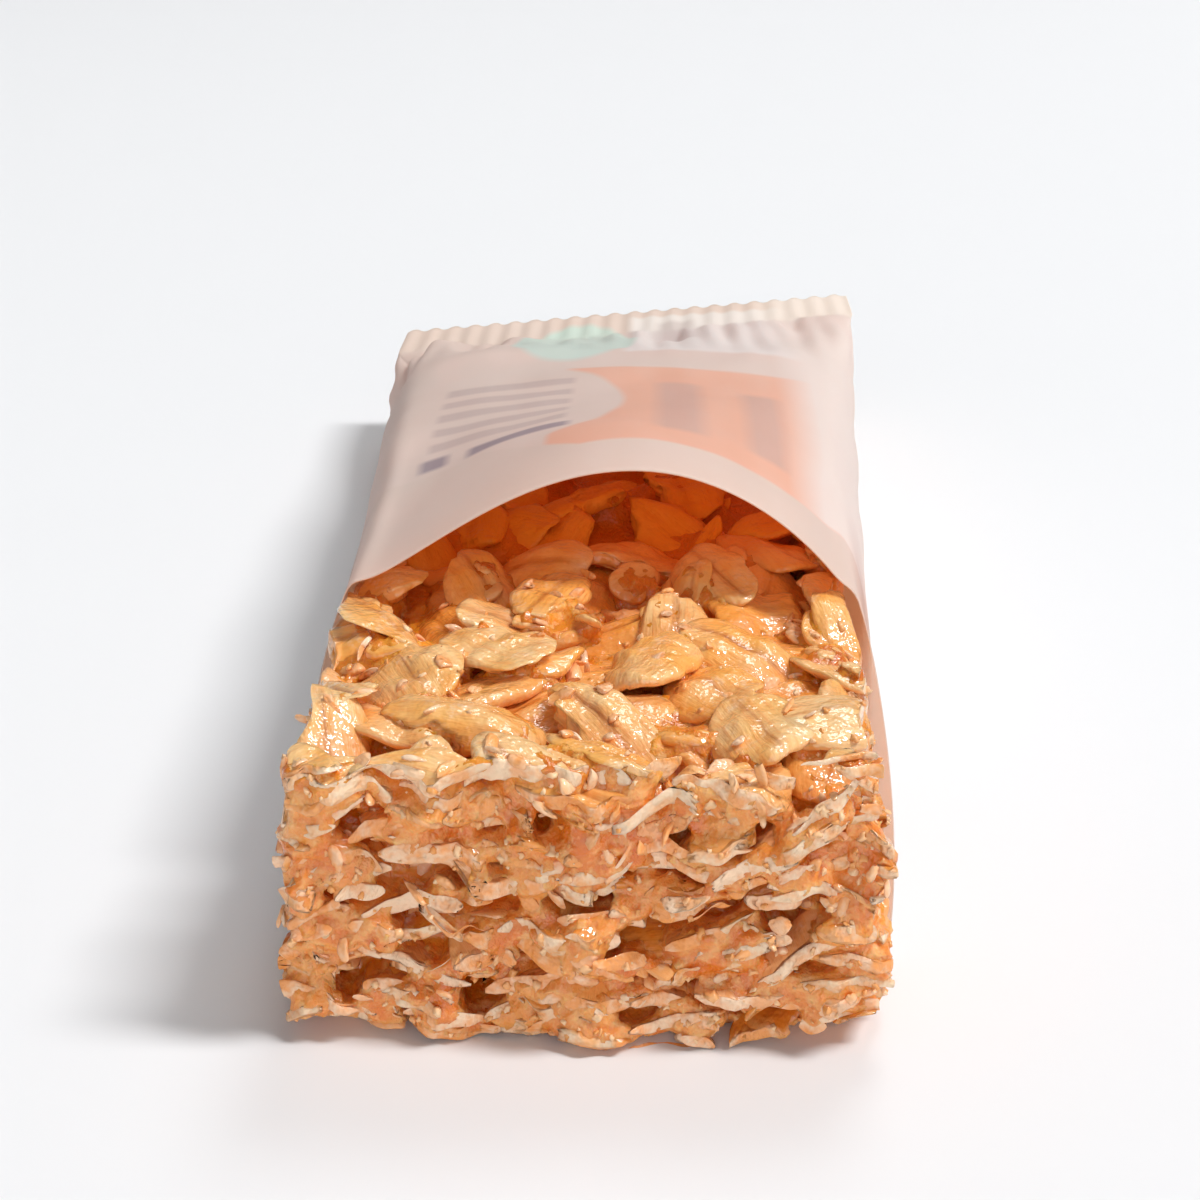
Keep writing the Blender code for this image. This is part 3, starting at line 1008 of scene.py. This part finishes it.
def syrup_material(name, glow, shine):
    """Cooked syrup with oat meal in it: clear amber in the hollows, pinkish tan where broken."""
    nodes = Nodes(bpy.data.materials.new(name))
    front = nodes.parts(nodes.attribute("near"))[0]
    place = nodes.place()
    # 1 under the wrapper, where painted shade turns the syrup deep amber and dulls its glaze
    wrapped = painted_bag_shade(nodes, place)
    clumps = nodes.noise(place, 230.0, 2.0)
    meal = nodes.noise(place, 900.0, 3.0, 0.65)
    amber = nodes.blend(nodes.spread(clumps, 0.36, 0.62), (0.66, 0.15, 0.004), (0.93, 0.32, 0.02))
    amber = nodes.blend(nodes.spread(meal, 0.52, 0.7, 0.0, 0.6), amber, (0.96, 0.55, 0.2))
    mealy = nodes.blend(nodes.spread(clumps, 0.36, 0.6), (0.8, 0.19, 0.012), (0.96, 0.33, 0.06))
    mealy = nodes.blend(nodes.spread(meal, 0.46, 0.64, 0.0, 0.9), mealy, (1.0, 0.48, 0.18))
    colour = nodes.blend(front, amber, mealy)
    colour = nodes.blend(nodes.times(wrapped, BAG_SHADE_DEPTH), colour, BAG_SHADED_SYRUP)
    wet = nodes.spread(meal, 0.62, 0.42, 0.2, 0.9)
    wet = nodes.times(wet, nodes.line(front, -0.25, 1.0))
    nodes.surface({
        "Base Color": colour,
        "Roughness": nodes.spread(clumps, 0.35, 0.65, 0.25, 0.5),
        "Specular IOR Level": shine,
        "Coat Weight": nodes.times(wet, nodes.line(wrapped, -BAG_SHADE_DEPTH, 1.0)),
        "Coat Roughness": GLAZE_ROUGHNESS,
        "Coat Normal": nodes.bump((meal, 0.00025, 0.6)),
        "Subsurface Weight": glow,
        "Subsurface Radius": (1.0, 0.45, 0.2),
        "Subsurface Scale": 0.0011,
        "Normal": nodes.bump((clumps, 0.0009, 0.5), (meal, 0.0005, 0.8)),
    })
    return nodes.owner


def crumb_material(name):
    """Dry oat meal and sugar: cream to white, a few amber grains."""
    nodes = Nodes(bpy.data.materials.new(name))
    tone = nodes.parts(nodes.attribute("oat"))[0]
    fine = nodes.noise(nodes.place(), 1800.0)
    colour = nodes.blend(nodes.spread(tone, 0.25, 0.8), (0.92, 0.4, 0.11), (0.98, 0.66, 0.38))
    colour = nodes.blend(nodes.spread(fine, 0.45, 0.7, 0.0, 0.5), colour, (0.86, 0.36, 0.1))
    nodes.surface({
        "Base Color": colour,
        "Roughness": nodes.spread(fine, 0.3, 0.7, 0.25, 0.6),
        "Coat Weight": nodes.spread(tone, 0.9, 0.2, 0.0, 0.8),
        "Coat Roughness": 0.1,
        "Normal": nodes.bump((fine, 0.00012, 0.7)),
    })
    return nodes.owner


def print_colour(nodes, x, along, paper):
    """The wrapper's plain print: soft colour fields, and grey bars where small print would be."""
    edge = nodes.line(nodes.spread(x, -2.0, -11.0), 9.0, 36.5)
    printed = nodes.spread(nodes.maths("SUBTRACT", along, edge), -0.4, 0.4)
    bite = nodes.oval(x, along, (-8.5, 60.0), (9.5, 18.0), 0.4)
    coral = nodes.times(nodes.bar(x, along, (-5.0, 30.0), (21.5, 77.0), 0.4), printed)
    coral = nodes.times(coral, nodes.maths("SUBTRACT", 1.0, bite))
    label = nodes.bar(x, along, (0.5, 85.0), (24.0, 123.0), 0.6)
    cream = nodes.times(nodes.bar(x, along, (17.5, 33.0), (40.0, 130.0), 2.0), printed)
    mint = nodes.oval(x, along, (-5.5, 101.0), (7.0, 20.0), 0.4)
    coats = [
        (printed, (0.91, 0.8, 0.72)),
        (coral, (1.0, 0.61, 0.45)),
        (label, (1.0, 0.99, 0.96)),
        (cream, (1.0, 0.95, 0.89)),
        (mint, (0.74, 0.95, 0.87)),
    ]
    texts = [((4.0, 42.0), (8.0, 70.0)), ((12.0, 42.0), (15.5, 68.0)), ((4.0, 104.0), (8.0, 120.0))]
    lines = [((-16.5, 52.0 + 4.5 * row), (-4.0, 54.4 + 4.5 * row)) for row in range(5)]
    stripes = [((-12.5, 46.5), (-3.5, 49.5)), ((-17.0, 47.0), (-14.5, 50.0))]
    kinds = ((texts, 0.8, 0.42, GREY_INK), (lines, 0.4, 0.5, GREY_INK), (stripes, 0.5, 0.7, DARK_INK))
    for marks, soft, strength, ink in kinds:
        bars = [nodes.bar(x, along, low, high, soft) for low, high in marks]
        coats += [(nodes.times(bar, strength), ink) for bar in bars]
    return nodes.painted(paper, *coats)


def paper_material(name):
    """Thin waxed paper: pale, faintly fibrous, and letting light through warm."""
    nodes = Nodes(bpy.data.materials.new(name))
    x, along, inner = nodes.parts(nodes.attribute("sheet"))
    place = nodes.place()
    fibres = nodes.noise(nodes.scaled(place, (260.0, 60.0, 160.0)), 1.0, 4.0, 0.6)
    cloud = nodes.noise(place, 60.0)
    paper = nodes.blend(nodes.spread(cloud, 0.3, 0.7), (0.87, 0.76, 0.67), (0.89, 0.8, 0.72))
    colour = nodes.blend(inner, print_colour(nodes, x, along, paper), paper)
    colour = nodes.blend(nodes.spread(fibres, 0.4, 0.7, 0.0, 0.12), colour, (0.95, 0.92, 0.88))
    opaque = nodes.surface({
        "Base Color": colour,
        "Roughness": nodes.spread(fibres, 0.3, 0.7, 0.42, 0.6),
        "Specular IOR Level": 0.35,
        "Normal": nodes.bump((cloud, 0.0006, 0.5), (fibres, 0.00006, 0.6)),
    })
    glow = nodes.blend(inner, nodes.blend(0.5, colour, (1.0, 0.68, 0.42)), (1.0, 0.62, 0.36))
    through = nodes.add("ShaderNodeBsdfTranslucent", {"Color": glow}).outputs[0]
    share = nodes.spread(inner, 0.0, 1.0, *FILM_GLOW)
    mixed = nodes.add("ShaderNodeMixShader", {0: share, 1: opaque, 2: through}).outputs[0]
    side = nodes.spread(nodes.maths("ABSOLUTE", x), *CLEAR_SIDES)
    clear = nodes.times(side, nodes.spread(along, *CLEAR_ALONG, 0.0, CLEAR_MOST))
    see_through = nodes.add("ShaderNodeBsdfTransparent").outputs[0]
    mixed = nodes.add("ShaderNodeMixShader", {0: clear, 1: mixed, 2: see_through}).outputs[0]
    nodes.put(nodes.tree.nodes["Material Output"].inputs["Surface"], mixed)
    return nodes.owner


def finish_piece(obj, material, node):
    obj.data.materials.append(material)
    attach(obj, "root")
    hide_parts(node)


# ----- the pieces


def is_near(layer, depth, trim):
    """True if the flake comes within depth of the bar's skin."""
    u, v = (part.ravel() for part in np.meshgrid(*[np.linspace(-1, 1, 5)] * 2))
    x, y, z = layer.points(u, v, 0 * u, trim)[0].T
    gaps = [half_width(z) - np.abs(x), y, BAR_LENGTH - y, BAR_HEIGHT - z, z]
    return np.min(gaps) < depth


def leaves_hole(layer):
    """True for a flake inside the broken face, which may have fallen out."""
    across, along = layer.centre
    return along < 4.5 and abs(across) < 15 and 4 < layer.height < TOP_LAYER


def make_bar():
    rng = np.random.default_rng(SEED)
    layers = lay_up(rng)
    trim = Trim(rng)
    kept = [layer for layer in layers if not (leaves_hole(layer) and rng.uniform() < HOLE_SHARE)]
    shown = [one for one in kept if one.centre[1] < EXPOSED and is_near(one, 2.6, trim)]
    wrapped = [one for one in kept if one.centre[1] >= EXPOSED and is_near(one, 1.6, trim)]
    in_mouth = [one for one in wrapped if one.height > TOP_LAYER and one.centre[1] < SEEN_IN_MOUTH]
    unseen = [one for one in wrapped if one not in in_mouth]
    top = [one for one in shown if one.height > TOP_LAYER + 1]
    inner = [one for one in shown if one.height <= TOP_LAYER + 1]
    golden = [one for one in inner if one.flake.tone < GOLDEN_SHARE]
    pale = [one for one in inner if one.flake.tone >= GOLDEN_SHARE]
    toasted = oat_material("golden_oats", **TOASTED)
    cream = oat_material("pale_oats", **CREAM)
    shaded = oat_material("shaded_oats", **SHADED)
    amber = syrup_material("amber_syrup", glow=0.5, shine=0.5)
    dark_syrup = syrup_material("shaded_syrup", glow=0.0, shine=0.15)
    exposed = [
        (joined("oats_top", top, (20, 14), trim), toasted),
        (joined("oats_golden", golden, (13, 9), trim), toasted),
        (joined("oats_pale", pale, (13, 9), trim), cream),
        (syrup_piece("syrup_exposed", shown, trim, **FINE_SYRUP), amber),
    ]
    trees = [BVHTree.FromObject(obj, bpy.context.evaluated_depsgraph_get()) for obj, _ in exposed]
    crumb_spots = scattered(rng, trees, **CRUMBS)
    sliver_spots = scattered(rng, trees, **SLIVERS)
    rest = [
        (joined("oats_in_mouth", in_mouth, (12, 8), trim), shaded),
        (joined("oats_wrapped", unseen, (6, 4), trim), shaded),
        (syrup_piece("syrup_wrapped", wrapped, trim, **COARSE_SYRUP), dark_syrup),
        (crumbs("crumbs", rng, crumb_spots), crumb_material("oat_meal")),
        (slivers("slivers", rng, sliver_spots), cream),
    ]
    for obj, material in exposed + rest:
        finish_piece(obj, material, "bar")


def make_wrapper():
    film = make_film(np.random.default_rng(SEED + 1))
    finish_piece(film, paper_material("wrapper_paper_print"), "wrapper")


# ----- floor, light and camera


def stand_in_floor():
    nodes = Nodes(bpy.data.materials.new("table"))
    fine = nodes.noise(nodes.place(), 40.0, 2.0)
    roughness = nodes.spread(fine, 0.3, 0.7, 0.75, 0.85)
    nodes.surface({"Base Color": FLOOR, "Roughness": roughness, "Specular IOR Level": 0.1})
    mesh = bpy.data.meshes.new("floor")
    corners = [(-FLOOR_HALF, -FLOOR_HALF, 0), (FLOOR_HALF, -FLOOR_HALF, 0)]
    corners += [(FLOOR_HALF, FLOOR_HALF, 0), (-FLOOR_HALF, FLOOR_HALF, 0)]
    mesh.from_pydata(corners, [], [(0, 1, 2, 3)])
    mesh.materials.append(nodes.owner)
    floor = in_scene("floor", mesh)


def window_light(name, place, target, size, power, colour):
    """A tall soft window: narrow across, and high."""
    light = bpy.data.lights.new(name, "AREA")
    light.shape = "RECTANGLE"
    light.size, light.size_y = size
    light.energy = power
    light.color = colour
    obj = in_scene(name, light, place)
    obj.rotation_euler = (Vector(target) - Vector(place)).to_track_quat("-Z", "Y").to_euler()


def sky_patch(nodes, direction, inner, outer, strength):
    """Extra sky brightness round a direction, full inside one angle and gone outside another."""
    heading = nodes.add("ShaderNodeTexCoord").outputs["Generated"]
    inputs = {0: heading, 1: Vector(direction).normalized()}
    toward = nodes.add("ShaderNodeVectorMath", inputs, operation="DOT_PRODUCT").outputs["Value"]
    low, high = math.cos(math.radians(outer)), math.cos(math.radians(inner))
    return nodes.spread(toward, low, high, 0.0, strength, interpolation_type="SMOOTHSTEP")


def make_lights():
    nodes = Nodes(bpy.data.worlds.new("studio"))
    patches = [sky_patch(nodes, *patch) for patch in SKY_PATCHES]
    strength = nodes.maths("ADD", nodes.maths("ADD", *patches), SKY_STRENGTH)
    background = nodes.tree.nodes["Background"]
    nodes.put(background.inputs["Color"], SKY)
    nodes.put(background.inputs["Strength"], strength)
    bpy.context.scene.world = nodes.owner
    window_light("key", **KEY_WINDOW)


def make_camera():
    camera = bpy.data.cameras.new("camera")
    camera.sensor_width = 36.0
    camera.lens = CAMERA_LENS
    camera.clip_start = 0.005
    across, back, up = CAMERA_PLACE
    obj = in_scene("camera", camera, (across, FACE_Y - back, up))
    obj.rotation_euler = (math.radians(90 - CAMERA_DOWN), 0.0, math.radians(CAMERA_LEFT))
    bpy.context.scene.camera = obj


make_bar()
make_wrapper()
stand_in_floor()
make_lights()
make_camera()
bpy.context.scene.view_settings.view_transform = "Standard"
